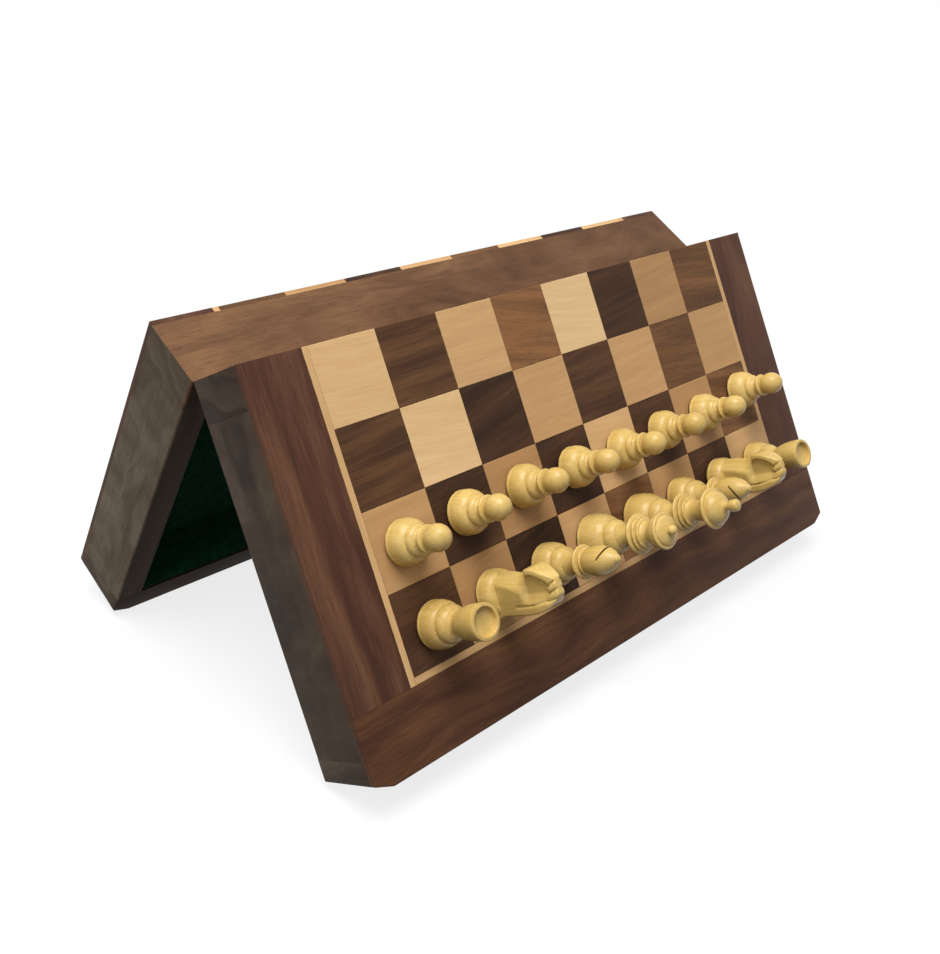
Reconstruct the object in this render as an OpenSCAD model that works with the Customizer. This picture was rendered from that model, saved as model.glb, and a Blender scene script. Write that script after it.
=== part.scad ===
// Folding chess box, standing open like a tent: two shallow felt-lined trays hinged along
// the fold, a chessboard across their outsides, and magnetic chessmen on both halves.
// The X axis runs along the fold, +Z is up and the origin is on the floor under the fold.

/* [Board] */
// Side of one square
square = 31; // [26:0.5:44]
// Width of the pale line round the squares
inlay_w = 2.75; // [1:0.25:6]
// Border plank beside the squares
side_border = 27; // [20:0.5:40]
// Border plank in front of the squares
front_border = 28; // [20:0.5:40]
// Thickness of the squares, line and border planks
face_t = 2.25; // [1.5:0.25:6]
// Depth of one half, from its rim to its playing face
half_h = 31; // [27:0.5:50]
// Leg of the slanted cut across each front corner, along the front
corner_cut_front = 8; // [2:0.5:10]
// Leg of that cut along the end
corner_cut_end = 4.5; // [2:0.5:10]
// Glue line left between neighbouring pieces of the face
glue_line = 0.1; // [0.04:0.02:0.3]

/* [Tray] */
// Thickness of the rail along the fold
fold_rail_w = 16; // [12:0.5:20]
// Thickness of the rails at the two ends
end_rail_w = 12; // [8:0.5:18]
// Thickness of the front rail
front_rail_w = 12; // [11:0.5:18]
// Thickness of the backing board
backing_t = 4; // [2:0.5:6]
// Thickness of the steel sheet under the squares
steel_t = 0.5; // [0.3:0.1:1]
// Lip of the fold rail that hides the edge of the steel sheet
sheet_lip = 2; // [1:0.5:4]
// Play of the backing board and steel sheet between the rails
panel_play = 0.2; // [0.1:0.05:0.5]
// Thickness of the felt
felt_t = 1; // [0.6:0.1:2]
// Bare wood between the rim and the edge of the felt
felt_setback = 1; // [0:0.5:4]

/* [Stance] */
// Angle between the two halves as the box stands
opening = 58; // [30:1:100]
// Gap between the closed rims, and between the fold faces of the flat board
fold_gap = 0.3; // [0.2:0.05:1]

/* [Hinges] */
// Length of one hinge
hinge_len = 38; // [24:1:60]
// Distance from each end of the box to the middle of the hinge beside it
hinge_inset = 55; // [40:1:100]
// Width of a leaf from the fold
leaf_w = 10; // [7:0.5:11]
// Thickness of a leaf
leaf_t = 1; // [0.8:0.1:1.5]
// Outer diameter of the knuckles
knuckle_d = 4; // [3.4:0.2:5]
// Diameter of the hinge pin
hinge_pin_d = 1.8; // [1.2:0.1:2.2]
// Radial play of the pin in the knuckles
pin_play = 0.05; // [0.02:0.01:0.1]
// Gap between neighbouring knuckles, and round the hinge in its recess
hinge_play = 0.25; // [0.15:0.05:0.5]
// Head diameter of a hinge screw
screw_head_d = 3.8; // [3:0.1:4.4]
// Shank diameter of a hinge screw
screw_d = 1.9; // [1.4:0.1:2.4]
// Length of a hinge screw
screw_len = 9; // [6:0.5:14]
// Distance between the two screws of a leaf
screw_pitch = 24; // [12:1:50]

/* [Closing magnets] */
// Diameter of a closing magnet
closer_d = 8; // [5:0.5:9]
// Thickness of a closing magnet
closer_t = 3; // [2:0.5:6]
// Distance from each end of the box to the magnet beside it
closer_inset = 100; // [20:1:110]
// Play of a magnet in its hole
magnet_play = 0.05; // [0.02:0.01:0.2]

/* [Chessman feet] */
// Thickness of the felt under a man
pad_t = 0.8; // [0.4:0.1:1.5]
// Diameter of the magnet in a foot
foot_magnet_d = 8; // [5:0.5:10]
// Thickness of the magnet in a foot
foot_magnet_t = 3; // [2:0.5:4]
// Gap left between a man's felt and the board
seat_gap = 0.05; // [0.02:0.01:0.2]

/* [Pawn] */
// Diameter of the foot
pawn_d = 17.8; // [15:0.2:24]
// Height of the pawn
pawn_h = 26; // [24:0.5:34]
// Diameter of the head
pawn_head_d = 11.4; // [9:0.2:12.4]

/* [Rook] */
// Diameter of the foot
rook_d = 18.4; // [16:0.2:26]
// Height of the rook
rook_h = 29; // [26:0.5:40]
// Diameter of the battlement
rook_head_d = 13.6; // [11:0.2:16]
// Diameter of the hollow in the battlement
rook_well_d = 10.6; // [8:0.2:10.8]
// Depth of the hollow in the battlement
rook_well = 2; // [1:0.2:4]

/* [Knight] */
// Diameter of the foot
knight_d = 18.8; // [17:0.2:26]
// Height of the knight
knight_h = 37; // [34:0.5:46]
// Thickness of the horse's neck
knight_neck_t = 10.8; // [10:0.2:14]

/* [Bishop] */
// Diameter of the foot
bishop_d = 18.8; // [16:0.2:26]
// Height of the bishop
bishop_h = 40; // [38:0.5:50]
// Diameter of the mitre
mitre_d = 11.6; // [9:0.2:13]
// Diameter of the wide collar
bishop_collar_d = 13.8; // [11:0.2:16]

/* [Queen and king] */
// Diameter of their feet
royal_d = 21.6; // [18:0.2:28]
// Diameter of their wide collars
royal_collar_d = 16.6; // [14:0.2:20]
// Height of the queen
queen_h = 45; // [43:0.5:56]
// Diameter of the queen's coronet
coronet_d = 15.4; // [13:0.2:18]
// Height of the king
king_h = 54; // [50:0.5:64]
// Diameter of the king's crown
crown_d = 17.2; // [14:0.2:20]

/* [Hidden] */
$fn = 48;
files = 8;
rows = 4;
lean = opening / 2;
play_w = files * square;
play_d = rows * square;
body_l = play_w + 2 * (inlay_w + side_border);
body_d = play_d + inlay_w + front_border;
rail_h = half_h - face_t;
rim_z = fold_gap / 2;
face_z = rim_z + half_h;
rail_top = rim_z + rail_h;
fold_y = -fold_gap / 2;
front_y = fold_y - body_d;
tray_l = body_l - 2 * end_rail_w;
tray_back_y = fold_y - fold_rail_w;
tray_front_y = front_y + front_rail_w;
backing_top = rail_top - steel_t;
backing_z = backing_top - backing_t;
axle_z = (body_d + fold_gap / 2) * cos(lean) - rim_z * sin(lean);
knuckle_r = knuckle_d / 2;
hinge_x = body_l / 2 - hinge_inset;
screw_y = fold_y - (knuckle_r + leaf_w) / 2;
closer_x = body_l / 2 - closer_inset;
countersink = (screw_head_d - screw_d) / 2;
drill_play = 0.05;
edge_cut = 1;
maple = "#d8b27c";
walnut = "#4a3226";
rail_wood = "#5a4233";
boxwood = "#dcc27c";
rosewood = "#3d1e14";
brass = "#b9913f";
steel = "#9aa0a4";
felt = "#17462f";

// Back-rank men from the a-file to the h-file
back_rank = ["rook", "knight", "bishop", "queen", "king", "bishop", "knight", "rook"];
// How far each man was put down from the middle of its square: along the fold, and away from it
pawn_slips = [[-2.4, 0], [-1.9, -1.2], [0, -1.6], [0.2, -0.4], [0.6, 0.7], [-0.3, 0.3], [1, 0.4], [3.8, -2.5]];
back_slips = [[0, 1.4], [0, 0.8], [0.4, 1], [-0.4, 0.2], [-0.2, 1], [-1, 1.2], [0, 1.2], [0, 2]];
file_names = "abcdefgh";

// Each man is [name, kind, file, row from the fold, slip]
function men(wood, pawn_rank, back_no) = concat(
    [for (f = [0:files - 1])
        [str(wood, "_pawn_", file_names[f], pawn_rank), "pawn", f, 2, pawn_slips[f]]],
    [for (f = [0:files - 1])
        [str(wood, "_", back_rank[f], "_", file_names[f], back_no), back_rank[f], f, 3, back_slips[f]]]);
base_men = men("boxwood", 2, 1);
lid_men = men("rosewood", 7, 8);
half_parts = ["fold_rail", "front_rail", "end_rails", "backing_board", "steel_sheet", "maple_squares",
    "walnut_squares", "maple_line", "border_planks", "felt_lining", "closing_magnets", "hinge_leaves",
    "hinge_screws"];

// ---- Placing ------------------------------------------------------------------------

// A half is drawn flat, playing face up, with the hinge axis on the X axis and the tray on -Y
module in_base() {
    translate([0, 0, axle_z]) rotate([90 - lean, 0, 0]) children();
}

module in_lid() {
    mirror([0, 1, 0]) in_base() children();
}

module at_both_ends(x) {
    for (s = [-1, 1]) translate([s * x, 0, 0]) children();
}

// Box between two corners
module block(a, b) {
    translate(a) cube(b - a);
}

// ---- Tray ---------------------------------------------------------------------------

module corner_cuts() {
    for (s = [0, 1]) mirror([s, 0, 0])
        translate([body_l / 2, front_y, 0]) linear_extrude(height = 4 * half_h, center = true)
            polygon([[-corner_cut_front, 0], [-corner_cut_front, -edge_cut], [edge_cut, -edge_cut],
                [edge_cut, corner_cut_end], [0, corner_cut_end]]);
}

module hinge_recess() {
    at_both_ends(hinge_x) {
        block([-hinge_len / 2 - hinge_play, fold_y - leaf_w - hinge_play, rim_z - leaf_t],
            [hinge_len / 2 + hinge_play, leaf_w, rim_z + leaf_t]);
        rotate([0, 90, 0])
            cylinder(r = knuckle_r + hinge_play, h = hinge_len + 2 * hinge_play, center = true);
    }
}

module screw_holes() {
    at_both_ends(hinge_x) at_both_ends(screw_pitch / 2)
        translate([0, screw_y, 0]) cylinder(d = screw_d + 2 * drill_play, h = rim_z + screw_len + drill_play);
}

module fold_rail() {
    difference() {
        block([-body_l / 2, fold_y - fold_rail_w, rim_z], [body_l / 2, fold_y, rail_top]);
        block([-tray_l / 2, fold_y - 2 * fold_rail_w, backing_top], [tray_l / 2, fold_y - sheet_lip, face_z]);
        hinge_recess();
        screw_holes();
    }
}

module front_rail() {
    difference() {
        block([-body_l / 2, front_y, rim_z], [body_l / 2, tray_front_y, rail_top]);
        corner_cuts();
        at_both_ends(closer_x) translate([0, front_y + front_rail_w / 2, 0])
            cylinder(d = closer_d + 2 * magnet_play, h = rim_z + closer_t + magnet_play);
    }
}

module end_rails() {
    at_both_ends((body_l - end_rail_w) / 2)
        block([-end_rail_w / 2, tray_front_y, rim_z], [end_rail_w / 2, tray_back_y, rail_top]);
}

module backing_board() {
    block([-tray_l / 2 + panel_play, tray_front_y + panel_play, backing_z],
        [tray_l / 2 - panel_play, tray_back_y - panel_play, backing_top]);
}

module steel_sheet() {
    block([-tray_l / 2 + panel_play, tray_front_y + panel_play, backing_top],
        [tray_l / 2 - panel_play, fold_y - sheet_lip - panel_play, rail_top]);
}

module felt_lining() {
    difference() {
        block([-tray_l / 2, tray_front_y, rim_z + felt_setback], [tray_l / 2, tray_back_y, backing_z]);
        block([-tray_l / 2 + felt_t, tray_front_y + felt_t, 0],
            [tray_l / 2 - felt_t, tray_back_y - felt_t, backing_z - felt_t]);
    }
}

module closing_magnets() {
    at_both_ends(closer_x) translate([0, front_y + front_rail_w / 2, rim_z])
        cylinder(d = closer_d, h = closer_t);
}

// ---- Playing face -------------------------------------------------------------------

// Squares whose file and row numbers add up to an even or an odd number
module squares(parity) {
    side = square - glue_line;
    for (f = [0:files - 1], r = [0:rows - 1])
        if ((f + r) % 2 == parity)
            translate([(f + 0.5) * square - play_w / 2, fold_y - (r + 0.5) * square, rail_top + face_t / 2])
                cube([side, side, face_t], center = true);
}

module maple_line() {
    mid = glue_line / 2;
    for (s = [0, 1]) mirror([s, 0, 0])
        block([play_w / 2 + mid, fold_y - play_d - inlay_w, rail_top],
            [play_w / 2 + inlay_w - mid, fold_y, face_z]);
    block([-play_w / 2 + mid, fold_y - play_d - inlay_w, rail_top],
        [play_w / 2 - mid, fold_y - play_d - mid, face_z]);
}

module border_planks() {
    mid = glue_line / 2;
    for (s = [0, 1]) mirror([s, 0, 0])
        block([play_w / 2 + inlay_w + mid, front_y + front_border + mid, rail_top],
            [body_l / 2, fold_y, face_z]);
    difference() {
        block([-body_l / 2, front_y, rail_top], [body_l / 2, front_y + front_border - mid, face_z]);
        corner_cuts();
    }
}

// ---- Hinges -------------------------------------------------------------------------

// One of three equal knuckles, counted -1, 0 and 1 along the axis, with the tab that joins it to its leaf
module knuckle(i) {
    pitch = hinge_len / 3;
    len = pitch - hinge_play;
    translate([i * pitch, 0, 0]) {
        rotate([0, 90, 0]) cylinder(d = knuckle_d, h = len, center = true);
        block([-len / 2, fold_y - leaf_w / 2, rim_z], [len / 2, 0, rim_z + leaf_t]);
    }
}

module hinge_leaves(knuckles) {
    at_both_ends(hinge_x) difference() {
        union() {
            block([-hinge_len / 2, fold_y - leaf_w, rim_z],
                [hinge_len / 2, -knuckle_r - hinge_play, rim_z + leaf_t]);
            for (i = knuckles) knuckle(i);
        }
        rotate([0, 90, 0]) cylinder(d = hinge_pin_d + 2 * pin_play, h = 2 * hinge_len, center = true);
        at_both_ends(screw_pitch / 2) translate([0, screw_y, rim_z]) {
            cylinder(r1 = screw_head_d / 2 + drill_play, r2 = screw_d / 2 + drill_play, h = countersink);
            cylinder(r = screw_d / 2 + drill_play, h = 2 * leaf_t);
        }
    }
}

module hinge_screw() {
    r = screw_d / 2;
    rotate_extrude() polygon([[0, 0], [screw_head_d / 2, 0], [r, countersink], [r, screw_len - 2 * r], [0, screw_len]]);
}

module hinge_screws() {
    at_both_ends(hinge_x) at_both_ends(screw_pitch / 2)
        translate([0, screw_y, rim_z]) hinge_screw();
}

module hinge_pins() {
    translate([0, 0, axle_z]) at_both_ends(hinge_x)
        rotate([0, 90, 0]) cylinder(d = hinge_pin_d, h = hinge_len - hinge_play, center = true);
}

// ---- Turned outlines ----------------------------------------------------------------

// Points are [radius, height]. A swell leaves a upright and bends over to b through an angle.
function swell(a, b, bend = 70, n = 7) = [for (i = [0:n]) let (t = bend * i / n)
    [a.x - (a.x - b.x) * (1 - cos(t)) / (1 - cos(bend)), a.y + (b.y - a.y) * sin(t) / sin(bend)]];
function back_to_front(v) = [for (i = [len(v) - 1:-1:0]) v[i]];
// Half-round ring of outer radius r at height z
function bead(r, z, depth, t, n = 6) = [for (i = [0:n]) let (a = -80 + 160 * i / n)
    [r - depth * (1 - cos(a)), z + t / 2 * sin(a)]];
// Arc of a ball of radius r at height z, from an angle up to the top
function ball(r, z, from, n = 10) = [for (i = [0:n]) let (a = from + (90 - from) * i / n)
    [r * cos(a), z + r * sin(a)]];
// Foot of radius r: a rim, a full dome up to the groove, and a second bulge from there in to the neck
function foot(r, groove) = concat([[0, pad_t]],
    back_to_front(swell([r, 2], [r - edge_cut, pad_t], 80, 4)), [[r - 0.4, 2.8], [r - 0.1, 3.4]],
    swell([r - 0.1, 4], [groove.x + 0.4, groove.y - 0.2], 72, 8), [groove]);
function shoulder(groove, neck) = swell([groove.x + 0.2, groove.y + 0.5], neck, 62, 5);
// Waist from point a through the narrowest point to point b
function waist(a, narrow, b) = concat(back_to_front(swell(narrow, a, 40, 3)), swell(narrow, b, 55, 5));

function pawn_outline() = let (head = pawn_head_d / 2, head_z = pawn_h - head, ring_z = head_z - 5)
    concat(foot(pawn_d / 2, [5.6, 9.4]), shoulder([5.6, 9.4], [4.5, 12]),
        waist([4.4, 12.3], [4.1, 13.2], [4.6, ring_z - 0.7]),
        bead(head - 0.3, ring_z, 1.2, 1.4), ball(head, head_z, -48));

function rook_outline() = let (head = rook_head_d / 2)
    concat(foot(rook_d / 2, [7.1, 9.2]), shoulder([7.1, 9.2], [5, 13]),
        waist([4.9, 13.3], [4.5, 14.5], [4.8, 15.6]),
        back_to_front(swell([head, rook_h - 2.4], [5.1, 16.2], 62, 6)),
        [[head, rook_h - 0.4], [head - 0.4, rook_h], [rook_well_d / 2, rook_h],
            [rook_well_d / 2 - 0.3, rook_h - rook_well], [0, rook_h - rook_well]]);

function bishop_outline() = let (head = mitre_d / 2, ring = bishop_collar_d / 2, tip = 2, mid_z = bishop_h - 11)
    concat(foot(bishop_d / 2, [7, 9.6]), shoulder([7, 9.6], [5, 14]),
        waist([4.9, 14.4], [4.2, 17.4], [4.7, 20.6]),
        bead(ring, 21.6, 1.8, 1.6), bead(ring - 1.4, 23.3, 1, 1.2),
        back_to_front(swell([head, mid_z], [4.9, 24.2], 60, 4)),
        swell([head, mid_z + 0.4], [tip, bishop_h - 1.6], 58, 8), ball(tip, bishop_h - tip, 20, 5));

function royal_base() = let (ring = royal_collar_d / 2)
    concat(foot(royal_d / 2, [7.2, 12.5]), shoulder([7.2, 12.5], [5, 17.4]),
        waist([4.9, 17.8], [3.9, 21.8], [4.6, 24.8]),
        bead(ring, 26.4, 2.6, 2.2), bead(ring - 1, 28.4, 1.8, 1.2), bead(ring - 2, 29.9, 1.4, 1.1));

function queen_outline() = let (rim = coronet_d / 2, rim_z = queen_h - 4.2, tip = 2)
    concat(royal_base(), waist([4.9, 30.8], [4.3, 32.4], [4.8, 33.8]),
        back_to_front(swell([rim - 0.3, rim_z - 0.8], [5, 34.4], 60, 5)), bead(rim, rim_z, 0.6, 1.4),
        back_to_front(swell([0.9, queen_h - 2 * tip + 0.2], [rim - 1.8, rim_z + 0.1], 60, 4)),
        ball(tip, queen_h - tip, -50, 7));

function king_outline() = let (rim = crown_d / 2, rim_z = king_h - 12.8, stem = 1.7, knob = 2.5)
    concat(royal_base(), waist([4.9, 30.8], [4.3, 33], [rim - 1, rim_z - 0.8]),
        bead(rim, rim_z, 1.2, 1.7), swell([rim - 1.4, rim_z + 0.9], [2.6, rim_z + 5.6], 72, 6),
        [[stem, rim_z + 6.2], [stem, king_h - 5], [knob - 0.2, king_h - 4.2], [knob, king_h - 3.2]],
        swell([knob, king_h - 1.4], [0, king_h], 80, 5));

// Horse from the side: [towards the fold, height]
function horse_side() = let (h = knight_h)
    [[8.2, 5], [8.2, 8], [7.6, 11], [7.4, 15], [7.2, 19.6], [7.9, 21.2], [8.9, h - 12.5], [9.1, h - 9],
        [6.8, h - 4], [4.2, h - 0.4], [3.4, h], [-2.4, h], [-5.4, h - 2.8], [-7.4, h - 7],
        [-8.4, h - 12], [-8.6, 19], [-8.4, 12], [-8.2, 5]];

// Horse from the front: [sideways, height]
function horse_front() = let (w = knight_neck_t / 2, h = knight_h)
    [[-w, 5], [w, 5], [w, 12], [w - 0.3, 20], [w - 0.9, h - 10], [w - 2.2, h - 3], [2, h], [-2, h],
        [2.2 - w, h - 3], [0.9 - w, h - 10], [0.3 - w, 20], [-w, 12]];

// Horse from above: [sideways, towards the fold], with both cheeks cut back from the nose
function horse_plan() = let (w = knight_neck_t / 2)
    [[-1.2, 9.4], [1.2, 9.4], [w, 3.4], [w, -6], [2.6, -9], [-2.6, -9], [-w, -6], [-w, 3.4]];

// ---- Chessmen -----------------------------------------------------------------------

function outline(kind) = kind == "pawn" ? pawn_outline() : kind == "rook" ? rook_outline()
    : kind == "bishop" ? bishop_outline() : kind == "queen" ? queen_outline() : king_outline();

module knight_form() {
    reach = 2 * knight_d;
    rotate_extrude() polygon(concat(foot(knight_d / 2, [7.2, 9.4]), [[0, 9.5]]));
    intersection() {
        rotate([90, 0, 90]) linear_extrude(height = reach, center = true) polygon(horse_side());
        rotate([90, 0, 0]) linear_extrude(height = reach, center = true) polygon(horse_front());
        linear_extrude(height = knight_h) polygon(horse_plan());
    }
}

module chessman(kind, wood) {
    color(wood) difference() {
        if (kind == "knight") knight_form();
        else rotate_extrude() polygon(outline(kind));
        translate([0, 0, pad_t - magnet_play])
            cylinder(d = foot_magnet_d + 2 * magnet_play, h = foot_magnet_t + 2 * magnet_play);
    }
    color(steel) translate([0, 0, pad_t]) cylinder(d = foot_magnet_d, h = foot_magnet_t);
    color(felt) cylinder(r = pad_radius(kind), h = pad_t);
}

function foot_d(kind) = kind == "pawn" ? pawn_d : kind == "rook" ? rook_d : kind == "knight" ? knight_d
    : kind == "bishop" ? bishop_d : royal_d;
function pad_radius(kind) = foot_d(kind) / 2 - edge_cut;

module standing_man(man, wood) {
    translate([(man[2] + 0.5) * square - play_w / 2 + man[4].x, fold_y - (man[3] + 0.5) * square - man[4].y,
        face_z + seat_gap])
        chessman(man[1], wood);
}

// ---- Assembly -----------------------------------------------------------------------

// One named piece of a half, drawn flat. The squares nearest the fold start pale on the base, dark on the lid.
module half_part(part, lid) {
    if (part == "fold_rail") color(rail_wood) fold_rail();
    if (part == "front_rail") color(rail_wood) front_rail();
    if (part == "end_rails") color(rail_wood) end_rails();
    if (part == "backing_board") color(maple) backing_board();
    if (part == "steel_sheet") color(steel) steel_sheet();
    if (part == "maple_squares") color(maple) squares(lid ? 1 : 0);
    if (part == "walnut_squares") color(walnut) squares(lid ? 0 : 1);
    if (part == "maple_line") color(maple) maple_line();
    if (part == "border_planks") color(walnut) border_planks();
    if (part == "felt_lining") color(felt) felt_lining();
    if (part == "closing_magnets") color(steel) closing_magnets();
    if (part == "hinge_leaves") color(brass) hinge_leaves(lid ? [0] : [-1, 1]);
    if (part == "hinge_screws") color(brass) hinge_screws();
}

for (p = half_parts) {
    in_base() half_part(p, false);
    in_lid() half_part(p, true);
}
color(brass) hinge_pins();
for (m = base_men) in_base() standing_man(m, boxwood);
for (m = lid_men) in_lid() standing_man(m, rosewood);
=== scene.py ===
import math
import random

import bmesh
import bpy
import numpy as np
from mathutils import Matrix, Vector


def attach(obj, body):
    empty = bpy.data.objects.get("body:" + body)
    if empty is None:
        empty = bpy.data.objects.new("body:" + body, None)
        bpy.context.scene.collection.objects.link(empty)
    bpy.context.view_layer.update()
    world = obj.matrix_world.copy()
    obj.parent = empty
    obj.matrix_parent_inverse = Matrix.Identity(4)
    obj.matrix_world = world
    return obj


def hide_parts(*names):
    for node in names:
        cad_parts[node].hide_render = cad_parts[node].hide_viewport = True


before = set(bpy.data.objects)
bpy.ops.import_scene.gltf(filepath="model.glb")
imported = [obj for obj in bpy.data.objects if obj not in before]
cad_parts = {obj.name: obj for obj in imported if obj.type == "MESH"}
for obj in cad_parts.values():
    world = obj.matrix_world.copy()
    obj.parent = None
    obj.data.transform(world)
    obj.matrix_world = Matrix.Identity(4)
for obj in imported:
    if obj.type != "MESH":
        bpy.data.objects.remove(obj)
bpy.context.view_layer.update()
mm = 0.001

# One half drawn flat, in millimetres: hinge axis on X, tray on -Y, playing face up
board = {
    "square": 31.0,
    "line": 2.75,
    "sideBorder": 27.0,
    "frontBorder": 28.0,
    "faceThickness": 2.25,
    "halfDepth": 31.0,
    "cutFront": 8.0,
    "cutEnd": 3.4,
    "foldRail": 16.0,
    "endRail": 12.0,
    "frontRail": 12.0,
    "backing": 4.0,
    "steel": 0.5,
    "felt": 1.0,
    "feltSetback": 1.0,
    "foldGap": 0.3,
    "glueLine": 0.1,
    "lean": 29.0,
    "softEdge": 0.7,
    "jointEdge": 0.12,
    "foldEdge": 0.5,
    "lineEdge": 0.08,
    "squareEdge": 0.12,
    "railEdge": 0.8,
    "foldRailEdge": 0.4,
    "frontRailEdge": 0.5,
    "innerEdge": 0.2,
    "feltCorner": 1.6,
}
playWidth = 8 * board["square"]
playDepth = 4 * board["square"]
bodyLength = playWidth + 2 * (board["line"] + board["sideBorder"])
bodyDepth = playDepth + board["line"] + board["frontBorder"]
endX = bodyLength / 2
rimZ = board["foldGap"] / 2
foldY = -board["foldGap"] / 2
frontY = foldY - bodyDepth
faceZ = rimZ + board["halfDepth"]
railTop = faceZ - board["faceThickness"]
lean = math.radians(board["lean"])
axleZ = (bodyDepth + board["foldGap"] / 2) * math.cos(lean) - rimZ * math.sin(lean)
leaning = Matrix.Rotation(math.pi / 2 - lean, 4, "X")
standing = Matrix.Scale(mm, 4) @ Matrix.Translation((0, 0, axleZ)) @ leaning
# The lid is the same half turned round
halfPlace = {"base": standing, "lid": Matrix.Rotation(math.pi, 4, "Z") @ standing}
halfBody = {"base": "base_half", "lid": "lid_half"}
bothSides = (("left", -1), ("right", 1))
sharpAngle = 34  # in degrees, above which an edge stays sharp


# Small helpers


def linear(hexColour):
    parts = [int(hexColour[i : i + 2], 16) / 255 for i in (1, 3, 5)]
    return tuple(c / 12.92 if c <= 0.04045 else ((c + 0.055) / 1.055) ** 2.4 for c in parts) + (1.0,)


def addNode(tree, kind, inputs=None, stops=None, **settings):
    node = tree.nodes.new(kind)
    for key, value in settings.items():
        setattr(node, key, value)
    for key, value in (inputs or {}).items():  # keys name a socket or count to it
        if isinstance(value, bpy.types.NodeSocket):
            tree.links.new(value, node.inputs[key])
        else:
            node.inputs[key].default_value = value
    if stops:
        elements = node.color_ramp.elements
        for place, _ in stops[1:-1]:
            elements.new(place)
        for element, (place, colour) in zip(elements, stops):
            element.position = place
            element.color = linear(colour) if isinstance(colour, str) else (colour, colour, colour, 1)
    return node


def calc(tree, operation, *values):
    return addNode(tree, "ShaderNodeMath", dict(enumerate(values)), operation=operation).outputs[0]


def stretch(tree, vector, factors):
    return addNode(tree, "ShaderNodeVectorMath", {0: vector, 1: factors}, operation="MULTIPLY").outputs[0]


def cells(tree, vector, size):
    # size of one noise cell along each axis, in metres
    return stretch(tree, vector, tuple(1 / length for length in size))


def noise(tree, vector, detail, roughness, scale=1.0):
    inputs = {"Vector": vector, "Scale": scale, "Detail": detail, "Roughness": roughness}
    return addNode(tree, "ShaderNodeTexNoise", inputs).outputs["Fac"]


def remap(tree, value, low, high, newLow, newHigh):
    inputs = {"Value": value, "From Min": low, "From Max": high, "To Min": newLow, "To Max": newHigh}
    return addNode(tree, "ShaderNodeMapRange", inputs).outputs["Result"]


def ramp(tree, value, stops):
    return addNode(tree, "ShaderNodeValToRGB", {"Fac": value}, stops).outputs["Color"]


def bump(tree, height, strength, distance):
    inputs = {"Height": height, "Strength": strength, "Distance": distance}
    return addNode(tree, "ShaderNodeBump", inputs).outputs["Normal"]


def surface(tree, inputs):
    shader = addNode(tree, "ShaderNodeBsdfPrincipled", inputs)
    addNode(tree, "ShaderNodeOutputMaterial", {"Surface": shader.outputs[0]})


def newMaterial(name):
    material = bpy.data.materials.new(name)
    material.use_nodes = True
    material.node_tree.nodes.clear()
    return material, material.node_tree


def newObject(name, data):
    thing = bpy.data.objects.new(name, data)
    bpy.context.scene.collection.objects.link(thing)
    return thing


def evaluated(thing):
    bpy.context.view_layer.update()
    return bpy.data.meshes.new_from_object(thing.evaluated_get(bpy.context.evaluated_depsgraph_get()))


def storePoints(mesh, name, kind, field, values):
    mesh.attributes.new(name, kind, "POINT").data.foreach_set(field, values.astype(np.float32).ravel())


def solidFrom(points, faces, shift=(0, 0, 0)):
    bm = bmesh.new()
    verts = [bm.verts.new(np.add(p, shift)) for p in points]
    for face in faces:
        bm.faces.new([verts[i] for i in face])
    return bm


# A part is a dictionary: points and faces, paint (a material number per face), and grain and tone per point
def partFrom(bm, grainAxis="X", shift=(0, 0, 0), tone=0.5, paint=0):
    bm.verts.ensure_lookup_table()
    for i, v in enumerate(bm.verts):
        v.index = i
    points = np.array([v.co[:] for v in bm.verts], float).reshape(-1, 3)
    faces = [[v.index for v in f.verts] for f in bm.faces]
    bm.free()
    return makePart(points, faces, grainAxis, shift, tone, paint)


def makePart(points, faces, grainAxis="X", shift=(0, 0, 0), tone=0.5, paint=0):
    points = np.asarray(points, float)
    order = {"X": (0, 1, 2), "Y": (1, 0, 2), "Z": (2, 0, 1)}[grainAxis]
    grain = (points[:, order] + np.array(shift, float)) * mm
    tones = np.full(len(points), float(tone))
    return {"points": points, "faces": faces, "paint": [paint] * len(faces), "grain": grain, "tone": tones}


def buildPiece(name, parts, place, body, nodes, materials):
    faces, paint, start = [], [], 0
    for part in parts:
        faces += [[start + i for i in face] for face in part["faces"]]
        paint += part["paint"]
        start += len(part["points"])
    keys = ("points", "grain", "tone")
    points, grain, tone = (np.concatenate([part[key] for part in parts]) for key in keys)
    mesh = bpy.data.meshes.new(name)
    mesh.from_pydata(points.tolist(), [], faces)
    storePoints(mesh, "grainPos", "FLOAT_VECTOR", "vector", grain)
    storePoints(mesh, "tone", "FLOAT", "value", tone)
    for material in materials:
        mesh.materials.append(material)
    mesh.polygons.foreach_set("material_index", np.array(paint, np.int32))
    settle(name, mesh, place, body, nodes)


def settle(name, mesh, place, body, nodes):
    mesh.transform(place)
    mesh.shade_smooth()
    mesh.set_sharp_from_angle(angle=math.radians(sharpAngle))
    mesh.update()
    piece = newObject(name, mesh)
    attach(piece, body)
    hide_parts(*nodes)


def halfNames(half, title):
    # border_planks of the base is the piece baseBorderPlanks, and stands for the node base_border_planks
    return half + title.title().replace("_", ""), [f"{half}_{title}"]


def buildHalfPiece(half, title, parts, materials):
    name, nodes = halfNames(half, title)
    buildPiece(name, parts, halfPlace[half], halfBody[half], nodes, materials)


def settleHalfPiece(half, title, mesh):
    name, nodes = halfNames(half, title)
    settle(name, mesh, halfPlace[half], halfBody[half], nodes)


def bevelWhere(bm, wanted, width, segments=3):
    chosen = []
    for e in bm.edges:
        a, b = e.verts[0].co, e.verts[1].co
        if wanted((a + b) / 2, (b - a).normalized()):
            chosen.append(e)
    if chosen:
        options = {"segments": segments, "profile": 0.5, "affect": "EDGES", "clamp_overlap": True}
        bmesh.ops.bevel(bm, geom=chosen, offset=width, **options)


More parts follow.
